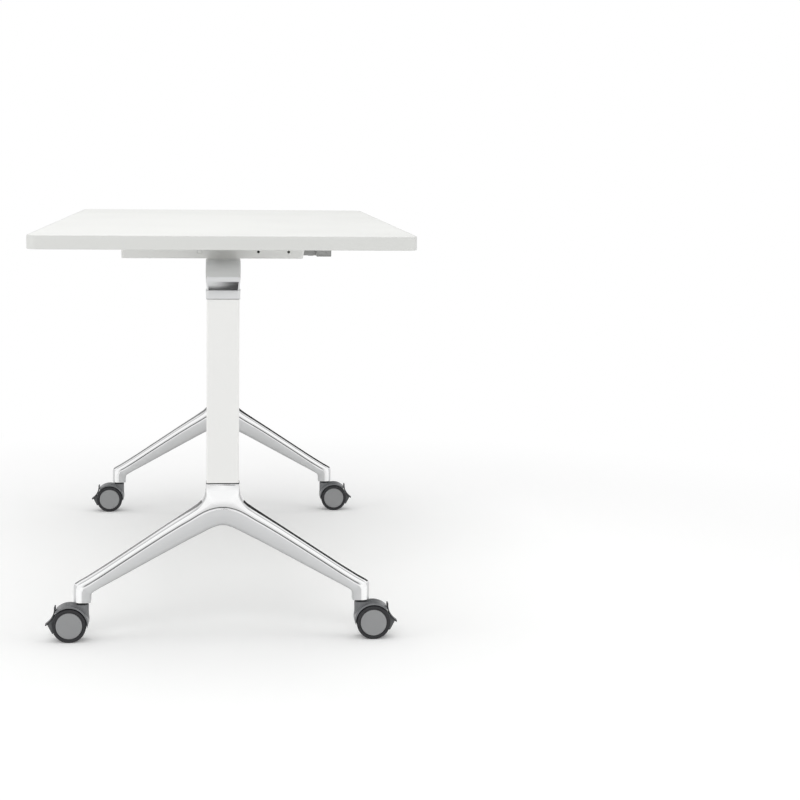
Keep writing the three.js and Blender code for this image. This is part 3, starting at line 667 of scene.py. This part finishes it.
def foot(end):
    bm = bmesh.new()
    crease = bm.edges.layers.float.new("crease_edge")
    painted_shade_mask = bm.verts.layers.float.new("painted_shade_mask")
    grow_quarter(bm, crease, painted_shade_mask)
    for across in ("Y", "X"):
        everything = bm.verts[:] + bm.edges[:] + bm.faces[:]
        bmesh.ops.mirror(bm, geom=everything, matrix=Matrix.Identity(4), merge_dist=mirror_merge, axis=across)
    holes = [e for e in bm.edges if e.is_boundary]
    for face in bmesh.ops.holes_fill(bm, edges=holes, sides=0)["faces"]:
        face.material_index = 1
    plug = bmesh.ops.create_cube(bm, size=1)["verts"]
    bmesh.ops.scale(bm, vec=shadow_plug_size, verts=plug)
    bmesh.ops.translate(bm, vec=(0, 0, neck_top + shadow_plug_rise), verts=plug)
    # the plug is fully masked, so it is painted dark as the shadow in the gap under the post
    for vert in plug:
        vert[painted_shade_mask] = 1
        for edge in vert.link_edges:
            edge[crease] = 1
    bmesh.ops.scale(bm, vec=(millimetre, millimetre, millimetre), verts=bm.verts)
    bmesh.ops.translate(bm, vec=(0, ends[end] * leg_y, 0), verts=bm.verts)
    return bm


for end in ends:
    piece = add_piece(f"{end}_foot_casting", foot(end), [polished, satin], "frame", "polished_casting",
                      f"{end}_foot", even=False, crease_angle=180)
    smooth = piece.modifiers.new("smooth_casting", "SUBSURF")
    smooth.levels = smooth.render_levels = 2
    print(piece.name, "cage faces", len(piece.data.polygons))

# %% [markdown]
# ## Castors
# A twin-wheel castor has two wheels on one axle, a hood over them and a brake pedal behind. Wheels are
# turned parts, so their sections are spun a full turn about the axle, and the doubled points at the seam
# and the poles are merged. The work is done round the stem, with the wheels trailing towards -X, and then
# turned and moved to each foot tip.

# %% Places round the stem and the axle
castors = [(end, flank) for end in ends for flank in flanks]
stem_x = 0.2587
trail = 0.0235
axle_height = 0.0315


def from_axle(x, z):
    return Vector((-trail + x, 0, axle_height + z))


def round_axle(radius, degrees):
    return from_axle(radius * math.cos(math.radians(degrees)), radius * math.sin(math.radians(degrees)))


def place_castor(bm, end, flank):
    if flanks[flank] > 0:
        bmesh.ops.rotate(bm, matrix=rotation(180, "Z"), verts=bm.verts)
    bmesh.ops.translate(bm, vec=(flanks[flank] * stem_x, ends[end] * leg_y, 0), verts=bm.verts)


print("castors", len(castors), "with stems at x", stem_x, "y", leg_y)

# %% Turned wheels
tyre_bore = 0.0247
tyre_radius = 0.0315
tyre_round = 0.0015
wheel_inner = 0.0051
wheel_outer = 0.0196
wheel_steps = 72
hub_profile = [(0.0, 0.0199), (0.0205, 0.0199), (0.0212, 0.0203), (0.0229, 0.0203), (0.0240, 0.0197),
               (0.0244, 0.0189), (0.0244, wheel_inner), (0.0, wheel_inner)]


def profile_line(bm, points):
    line = [bm.verts.new(p) for p in points]
    return line + [bm.edges.new(pair) for pair in zip(line, line[1:])]


def full_turn(bm, geom, centre, axis, steps):
    bmesh.ops.spin(bm, geom=geom, cent=centre, axis=axis, angle=2 * math.pi, steps=steps, use_merge=True)
    bmesh.ops.remove_doubles(bm, verts=bm.verts[:], dist=merge_distance)


def turn_about_axle(bm):
    full_turn(bm, bm.verts[:] + bm.edges[:], from_axle(0, 0), (0, 1, 0), wheel_steps)


def tyre(side):
    bm = bmesh.new()
    flat_section(bm, tyre_radius - tyre_bore, wheel_outer - wheel_inner)
    bevel(bm, bm.verts[:], tyre_round, 4, affect="VERTICES")
    bmesh.ops.delete(bm, geom=bm.faces[:], context="FACES_ONLY")
    middle = (-trail + (tyre_bore + tyre_radius) / 2, side * (wheel_inner + wheel_outer) / 2, axle_height)
    bmesh.ops.translate(bm, vec=middle, verts=bm.verts)
    turn_about_axle(bm)
    return bm


def hub(side):
    bm = bmesh.new()
    profile_line(bm, [(-trail + r, side * y, axle_height) for r, y in hub_profile])
    turn_about_axle(bm)
    return bm


for end, flank in castors:
    for side in (1, -1):
        along_y = side if flanks[flank] < 0 else -side
        where = "outer" if along_y == ends[end] else "inner"
        name = f"{end}_{flank}_{where}"
        for kind, shape, look, slot in (
                ("tyre", tyre, tyre_rubber, "tyre"), ("hub", hub, hub_grey, "hub_grey")):
            bm = shape(side)
            place_castor(bm, end, flank)
            add_piece(f"{name}_turned_{kind}", bm, [look], f"{name}_wheel", slot, f"{name}_{kind}",
                      crease_angle=30)
print("wheels, pieces", piece_count)

# %% [markdown]
# The brake pedal is a thin blade, hollow towards the foot that presses it, on a wedge that follows the
# wheels. The blade is a short section spun about a centre out in front of it. The edge of the wedge
# starts as one point spun about the axle, and the filled outline is extruded to its width.

# %% Pedal blade
blade_centre = from_axle(-0.0652, 0.0311)
blade_radius = 0.0370
blade_thickness = 0.0027
blade_width = 0.016
blade_start, blade_sweep = -4, 61.5
blade_round = 0.0009


def add_blade(bm):
    flat_section(bm, blade_thickness, blade_width)
    reach = Vector((blade_radius + blade_thickness / 2, 0, 0))
    bmesh.ops.translate(bm, vec=blade_centre + reach, verts=bm.verts)
    bmesh.ops.rotate(bm, cent=blade_centre, matrix=rotation(blade_start, "Y"), verts=bm.verts)
    bmesh.ops.spin(bm, geom=bm.faces[:], cent=blade_centre, axis=(0, 1, 0), angle=math.radians(blade_sweep),
                   steps=12, use_merge=False)
    bevel(bm, sharp_edges(bm, 60), blade_round, 3, clamp=True)


print("blade sweep", blade_sweep, "degrees")

# %% Wedge and pedals
wedge_width = 0.0124
wedge_radius = 0.0327
wedge_start, wedge_sweep = 163, -46
wedge_corners = [(-0.0318, -0.0174), (-0.0405, -0.0010), (-0.0330, 0.0112)]


def add_wedge(bm):
    blade = set(bm.faces)
    root = bm.verts.new(round_axle(wedge_radius, wedge_start))
    arc = bmesh.ops.spin(bm, geom=[root], cent=from_axle(0, 0), axis=(0, 1, 0),
                         angle=math.radians(wedge_sweep), steps=8)
    corners = [bm.verts.new(from_axle(*corner)) for corner in wedge_corners]
    path = verts_of(arc["geom_last"]) + corners + [root]
    outline = [bm.edges.new(pair) for pair in zip(path, path[1:])]
    outline += [e for e in bm.edges if not e.link_faces and e not in outline]
    grow(bm, bmesh.ops.edgeloop_fill(bm, edges=outline)["faces"], (0, wedge_width, 0))
    wedge = [f for f in bm.faces if f not in blade]
    wedge_verts = {v for f in wedge for v in f.verts}
    bmesh.ops.translate(bm, vec=(0, -wedge_width / 2, 0), verts=list(wedge_verts))
    for face in wedge:
        face.material_index = 1


for end, flank in castors:
    name = f"{end}_{flank}"
    bm = bmesh.new()
    add_blade(bm)
    add_wedge(bm)
    place_castor(bm, end, flank)
    add_piece(f"{name}_pedal_blade", bm, [pedal_black, pedal_grey], f"{name}_brake", "pedal_black",
              f"{name}_brake_pedal", crease_angle=35)
print("pedals, pieces", piece_count)

# %% [markdown]
# The housing is a hood spun about the axle, thinned where it ends beside the wheels, with a boss on top
# that takes the stem and a web between the wheels. Angles are in degrees from the side away from the pedal.

# %% Hood
hood_inner = 0.0332
hood_outer = 0.0366
hood_half_width = 0.0199
hood_round = 0.0009
hood_start, hood_end = -6, 134
thinned_from = 28
thinning = 0.8


def add_hood(bm):
    axle = from_axle(0, 0)
    flat_section(bm, hood_outer - hood_inner, 2 * hood_half_width)
    bevel(bm, bm.verts[:], hood_round, 3, affect="VERTICES")
    bmesh.ops.translate(bm, vec=from_axle((hood_outer + hood_inner) / 2, 0), verts=bm.verts)
    bmesh.ops.rotate(bm, cent=axle, matrix=rotation(-hood_start, "Y"), verts=bm.verts)
    bmesh.ops.spin(bm, geom=bm.faces[:], cent=axle, axis=(0, 1, 0),
                   angle=math.radians(hood_start - hood_end), steps=40, use_merge=False)
    for vert in bm.verts:
        arm = vert.co - axle
        degrees = math.degrees(math.atan2(arm.z, arm.x))
        radius = math.hypot(arm.x, arm.z)
        share = min(1, max(0, (thinned_from - degrees) / (thinned_from - hood_start)))
        thinner = hood_inner + (radius - hood_inner) * (1 - thinning * share * share)
        vert.co += (thinner / radius - 1) * Vector((arm.x, 0, arm.z))


print("hood from", hood_start, "to", hood_end, "degrees")

# %% Boss
boss_radius = 0.012
boss_back = 0.022
boss_top = 0.0690
boss_low = 0.0430
boss_root = 0.0349
boss_round = 0.001
boss_steps, flank_steps = 20, 6


def add_boss(bm):
    turn = [math.radians(-90 + 180 / boss_steps * step) for step in range(boss_steps + 1)]
    plan = [(boss_radius * math.cos(a), boss_radius * math.sin(a)) for a in turn]
    flank_x = [-boss_back * step / flank_steps for step in range(1, flank_steps + 1)]
    plan += [(x, boss_radius) for x in flank_x] + [(x, -boss_radius) for x in reversed(flank_x)]
    top = bm.faces.new([bm.verts.new((x, y, boss_top)) for x, y in plan])
    rim = top.edges[:]
    for vert in verts_of(bmesh.ops.extrude_face_region(bm, geom=[top])["geom"]):
        across = vert.co.x + trail
        rise = math.sqrt(max(0, boss_root ** 2 - across ** 2))
        vert.co.z = max(boss_low, axle_height + rise)
    bevel(bm, rim, boss_round, 3)


print("boss", boss_radius, "round, top at", boss_top)

# %% Web and housings
web_half = 0.0043
web_radius = 0.0334
tongue_radius = 0.0324
tongue_end = 209
web_step = 5
disc_radius = 0.009
disc_half = 0.0046


def add_web(bm):
    fan = [from_axle(0, 0)]
    fan += [round_axle(web_radius, angle) for angle in range(hood_start, hood_end + 1, web_step)]
    tongue = range(hood_end + web_step, tongue_end + 1, web_step)
    fan += [round_axle(tongue_radius, angle) for angle in tongue]
    plate = bm.faces.new([bm.verts.new(point - Vector((0, web_half, 0))) for point in fan])
    grow(bm, [plate], (0, 2 * web_half, 0))
    disc = ((0, -disc_half), (disc_radius, -disc_half), (disc_radius, disc_half), (0, disc_half))
    line = profile_line(bm, [from_axle(r, 0) + Vector((0, y, 0)) for r, y in disc])
    full_turn(bm, line, from_axle(0, 0), (0, 1, 0), 32)


def housing():
    bm = bmesh.new()
    add_hood(bm)
    add_boss(bm)
    add_web(bm)
    return bm


print("web", round(2 * web_half, 4), "thick, tongue ends at", tongue_end, "degrees")

# %% [markdown]
# The stem is turned, so its profile is spun about its own line. It stays with the foot, and the housing
# swivels round it.

# %% Stems, and both in place
stem_profile = [(0, 0.0523), (0.0045, 0.0523), (0.0045, 0.0693), (0.0109, 0.0693), (0.0115, 0.0699),
                (0.0115, 0.0728), (0.0109, 0.0734), (0.0055, 0.0734), (0.0055, 0.092), (0, 0.092)]


def stem():
    bm = bmesh.new()
    line = profile_line(bm, [(r, 0, z) for r, z in stem_profile])
    full_turn(bm, line, (0, 0, 0), (0, 0, 1), 40)
    return bm


for end, flank in castors:
    name = f"{end}_{flank}"
    for kind, shape, look, body, slot in (
            ("housing", housing, housing_grey, f"{name}_castor", "castor_grey"),
            ("stem", stem, stem_black, "frame", "castor_stem")):
        bm = shape()
        place_castor(bm, end, flank)
        add_piece(f"{name}_moulded_{kind}", bm, [look], body, slot, f"{name}_{kind}", crease_angle=35)
print("housings and stems, pieces", piece_count)

# %% [markdown]
# ## Pressed and machined small parts
# The rails, hinge arms, pins, bolts and release arms already have the right shape, but their edges are
# knife sharp. A copy of each solid has its doubled points merged and its flat faces rejoined, and then a
# Bevel modifier rounds the sharp edges, which is what catches the light on a real part.

# %% Softened copies
solid_merge = 2e-6
flat_angle = 1.5
sharp_angle = 32


def softened(node, look, body, slot, radius):
    bm = bmesh.new()
    bm.from_mesh(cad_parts[node].data)
    bmesh.ops.remove_doubles(bm, verts=bm.verts[:], dist=solid_merge)
    bmesh.ops.dissolve_limit(bm, angle_limit=math.radians(flat_angle), verts=bm.verts[:], edges=bm.edges[:])
    piece = add_piece(f"{node}_softened", bm, [look], body, slot, node, even=False, crease_angle=sharp_angle)
    rounding = piece.modifiers.new("soft_edges", "BEVEL")
    rounding.width = radius
    rounding.segments = 2
    rounding.limit_method = "ANGLE"
    rounding.angle_limit = math.radians(sharp_angle)
    rounding.profile = 0.5
    rounding.use_clamp_overlap = True
    rounding.loop_slide = False
    piece.modifiers.new("even_normals", "WEIGHTED_NORMAL").keep_sharp = True
    return piece


# %% [markdown]
# The right end of each rail slants, with its lower edge drawn in. The slant fades in along the last
# stretch, so that the rounded corner leans as a whole. Axles hardly show, so they just get a finish.

# %% Rails, hinges, bolts and axles
rail_slant = 0.0055
slant_reach = 0.022
rail_edge = 0.0007
small_parts = [
    ("hinge_pin", powder_coat, "top", "white_paint", 0.0004),
    ("hinge_arm", powder_coat, "frame", "white_paint", 0.0006),
    ("catch_bolt", dark_bolt, "frame", "dark_bolt", 0.0004),
    # the release arms are white, painted grey here for the shade they lie in
    ("release_arm", shade_grey, "release", "steel", 0.0006),
]
for end in ends:
    rail = softened(f"{end}_rail", shaded_rail_coat, "top", "white_paint", rail_edge)
    rail_low, rail_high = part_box(f"{end}_rail")
    for vert in rail.data.vertices:
        towards_end = max(0, 1 - (rail_high.x - vert.co.x) / slant_reach)
        vert.co.x -= rail_slant * towards_end * (rail_high.z - vert.co.z) / (rail_high.z - rail_low.z)
    for part, look, body, slot, radius in small_parts:
        softened(f"{end}_{part}", look, body, slot, radius)
    for flank in flanks:
        axle_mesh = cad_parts[f"{end}_{flank}_axle"].data
        axle_mesh.materials.clear()
        axle_mesh.materials.append(steel)
print("softened parts, pieces", piece_count)

# %% [markdown]
# ## Release bar and grip
# The bar that frees the top is folded sheet with tight corners. A plug closes each end: its face is sunk a
# little, its lip covers the sheet's edge, and it is painted grey as shade. A red sleeve marks where to pull.

# %% Bar and sleeve
bar_corner, bar_rim = 0.0014, 0.0003
plug_inset, plug_depth, plug_lip = 0.0002, 0.001, 0.0006
sleeve_corner, sleeve_rim = 0.006, 0.0012
low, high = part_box("release_bar")
bar = rounded_bar(low, high, length_axis, bar_corner, 4, bar_rim, 2)
bar_ends = [f for f in bar.faces if abs(f.normal.y) > square_on]
bmesh.ops.inset_region(bar, faces=bar_ends, thickness=plug_inset, use_even_offset=True)
# the plug faces and a thin band round each end are painted grey as shade
for face in bar_ends:
    inward = -math.copysign(plug_depth, face.normal.y)
    for plug in grow(bar, [face], (0, inward, 0)):
        plug.material_index = 1
bmesh.ops.delete(bar, geom=[f for f in bar_ends if f.is_valid], context="FACES_ONLY")
for face in bar.faces:
    if high.y - abs(face.calc_center_median().y) < plug_lip:
        face.material_index = 1
add_piece("release_bar_folded", bar, [powder_coat, shade_grey], "release", "white_paint", "release_bar")
low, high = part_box("release_grip")
sleeve = rounded_bar(low, high, length_axis, sleeve_corner, 6, sleeve_rim, 3)
add_piece("release_sleeve", sleeve, [red_sleeve], "release", "red_grip", "release_grip")
print("release bar and sleeve, pieces", piece_count)

# %% [markdown]
# ## Screws
# The underside shows small dark screws: six in each rail, and one at each end of the release bar. A screw
# head is turned, so a short profile with a socket in it is spun about the screw's own line. The profile
# gives shares of the head's radius and height.

# %% Screw heads
screw_profile = [(0.0, 0.55), (0.42, 0.55), (0.46, 1.0), (0.70, 0.94), (0.92, 0.62), (1.0, 0.2), (1.0, -0.3),
                 (0.0, -0.3)]
rail_screws = [(0.124, 0.015), (0.124, -0.015), (0.085, 0), (-0.138, 0.015), (-0.138, -0.015), (-0.159, 0)]
rail_head_radius, rail_head_height = 0.0036, 0.0011
guide_head_radius, guide_head_height = 0.006, 0.0006
guide_gap = 0.0003


def screw_head(bm, place, radius, height):
    older = set(bm.verts)
    line = profile_line(bm, [(r * radius, 0, -h * height) for r, h in screw_profile])
    full_turn(bm, line, (0, 0, 0), (0, 0, 1), 20)
    bmesh.ops.translate(bm, vec=place, verts=[v for v in bm.verts if v not in older])


for end in ends:
    low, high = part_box(f"{end}_rail")
    middle = (low + high) / 2
    bm = bmesh.new()
    for x, aside in rail_screws:
        screw_head(bm, (x, middle.y + aside, low.z), rail_head_radius, rail_head_height)
    add_piece(f"{end}_rail_screws", bm, [dark_bolt], "top", "dark_bolt")
    low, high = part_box(f"{end}_guide_screw")
    arm_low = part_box(f"{end}_release_arm")[0]
    place = ((low.x + high.x) / 2, (low.y + high.y) / 2, arm_low.z - guide_gap)
    bm = bmesh.new()
    screw_head(bm, place, guide_head_radius, guide_head_height)
    add_piece(f"{end}_guide_screw_head", bm, [dark_bolt], "top", "dark_bolt", f"{end}_guide_screw")
print("screws, pieces", piece_count)

# %% [markdown]
# ## Floor and light
# The photograph has a white floor that runs into a white background, with a soft shadow under the table.
# The floor is a wide disc that fades to plain white away from the table, so no horizon shows. The white is
# there for the camera and for reflections alike, and it never adds light to the object.

# %% Rays that see the white background
def background_rays(tree):
    rays = add_node(tree, "LightPath")
    seen = add_node(tree, "Math", operation="MAXIMUM")
    watched = add_node(tree, "Math", operation="MAXIMUM")
    wire(tree,
         (rays.outputs["Is Camera Ray"], seen.inputs[0]),
         (rays.outputs["Is Glossy Ray"], seen.inputs[1]),
         (seen.outputs["Value"], watched.inputs[0]),
         (rays.outputs["Is Transmission Ray"], watched.inputs[1]))
    return watched.outputs["Value"]


# %% Matt paint for floor and cards
def matt_paint(name, noise_scale, dark, light):
    paint, tree, shader = new_material(name)
    shader.inputs["Roughness"].default_value = 0.9
    shader.inputs["Specular IOR Level"].default_value = 0.0
    cloud = add_node(tree, "TexNoise", {"Scale": noise_scale})
    tone = add_node(tree, "Mix", {"A": (*dark, 1), "B": (*light, 1)}, data_type="RGBA")
    wire(tree,
         (cloud.outputs["Fac"], tone.inputs["Factor"]),
         (tone.outputs["Result"], shader.inputs["Base Color"]))
    return paint, tree, shader, cloud


# %% Floor
floor_radius = 7
floor_lift = 0.075
fade_centre = (0, -0.3, 0)
fade_start, fade_end = 0.9, 2.2
floor_bm = bmesh.new()
bmesh.ops.create_circle(floor_bm, cap_ends=True, segments=96, radius=floor_radius)
floor = mesh_object("floor", floor_bm)
floor_paint, tree, shader, cloud = matt_paint("pale_floor", 3, (0.955, 0.957, 0.955), (0.975, 0.977, 0.975))
place = add_node(tree, "TexCoord")
reach = add_node(tree, "VectorMath", {1: fade_centre}, operation="DISTANCE")
fade = add_node(tree, "MapRange", {"From Min": fade_start, "From Max": fade_end},
                interpolation_type="SMOOTHSTEP")
seen = add_node(tree, "Math", operation="MULTIPLY")
lift = add_node(tree, "Math", {1: floor_lift}, operation="MULTIPLY")
pale = add_node(tree, "Emission")
lifted = add_node(tree, "AddShader")
white = add_node(tree, "Emission")
mix = add_node(tree, "MixShader")
watched = background_rays(tree)
wire(tree,
     (place.outputs["Object"], reach.inputs[0]),
     (place.outputs["Object"], cloud.inputs["Vector"]),
     (reach.outputs["Value"], fade.inputs["Value"]),
     (fade.outputs["Result"], seen.inputs[0]),
     (watched, seen.inputs[1]),
     (seen.outputs["Value"], mix.inputs["Fac"]),
     (watched, lift.inputs[0]),
     (lift.outputs["Value"], pale.inputs["Strength"]),
     (shader.outputs["BSDF"], lifted.inputs[0]),
     (pale.outputs["Emission"], lifted.inputs[1]),
     (lifted.outputs["Shader"], mix.inputs[1]),
     (white.outputs["Emission"], mix.inputs[2]),
     (mix.outputs["Shader"], tree.nodes["Material Output"].inputs["Surface"]))
floor.data.materials.append(floor_paint)
print("floor radius", floor_radius, "fades from", fade_start, "to", fade_end)

# %% [markdown]
# The studio is white all round, dimmer as a light than it looks, so that paint keeps its own colour.
# Soft lamps overhead, in front and at the sides light the table at a plain level.

# %% World and lamps
ambient = 0.55
world = bpy.data.worlds.new("studio")
bpy.context.scene.world = world
world.use_nodes = True
tree = world.node_tree
background = tree.nodes["Background"]
background.inputs["Color"].default_value = (1, 1, 1, 1)
shown = add_node(tree, "Mix", {"A": ambient, "B": 1}, data_type="FLOAT")
wire(tree,
     (background_rays(tree), shown.inputs["Factor"]),
     (shown.outputs["Result"], background.inputs["Strength"]))


def soft_lamp(name, place, target, width, height, power):
    data = bpy.data.lights.new(name, "AREA")
    data.shape = "RECTANGLE"
    data.size = width
    data.size_y = height
    data.energy = power
    lamp = bpy.data.objects.new(name, data)
    lamp.location = place
    lamp.rotation_euler = (Vector(target) - Vector(place)).to_track_quat("-Z", "Y").to_euler()
    lamp.visible_glossy = False
    bpy.context.scene.collection.objects.link(lamp)


soft_lamp("overhead_lamp", (0, 0.1, 3.4), (0, 0, 0.7), 2.4, 2.8, 34)
soft_lamp("front_lamp", (-0.6, -4.5, 3.3), (0, -0.5, 0.45), 3.4, 2.2, 60)
soft_lamp("left_fill", (-3.8, -1.2, 1.5), (0, -0.3, 0.5), 2.4, 2.2, 24)
soft_lamp("right_fill", (3.8, -1.2, 1.5), (0, -0.3, 0.5), 2.4, 2.2, 24)
bpy.context.scene.view_settings.view_transform = "Standard"

# %% [markdown]
# Polished metal in an all white room looks like white paint. Photographers stand black and grey cards
# round the set, and it is those that draw the dark lines on chrome. These cards are part of the stage, like
# the floor: only reflections see them, so they cast no shadow and hide nothing. A card is given its paint,
# its place along the table, the two ends of its lower edge and the height of its top.

# %% Studio cards
def card_paint(name, dark, light):
    return matt_paint(name, 40, (dark, dark, dark), (light, light, light))[0]


def studio_card(name, paint, y, low_left, low_right, high):
    bm = bmesh.new()
    corners = (low_left, low_right, (low_right[0], high), (low_left[0], high))
    bm.faces.new([bm.verts.new((x, y, z)) for x, z in corners])
    card = mesh_object(name, bm)
    card.data.materials.append(paint)
    for ray in ("camera", "diffuse", "shadow", "transmission"):
        setattr(card, f"visible_{ray}", False)


black_card = card_paint("black_card", 0.02, 0.05)
grey_card = card_paint("grey_card", 0.26, 0.30)
studio_card("back_right_card", black_card, 2.4, (0.08, 0.05), (3.2, 1.5), 6.0)
studio_card("back_left_card", grey_card, 2.4, (-3.0, 1.1), (0.08, 0.05), 2.3)
studio_card("front_low_card", black_card, -2.0, (-0.16, 0.50), (0.16, 0.50), 0.60)
studio_card("front_tall_card", black_card, -2.0, (0.0, 0.60), (0.16, 0.60), 1.02)
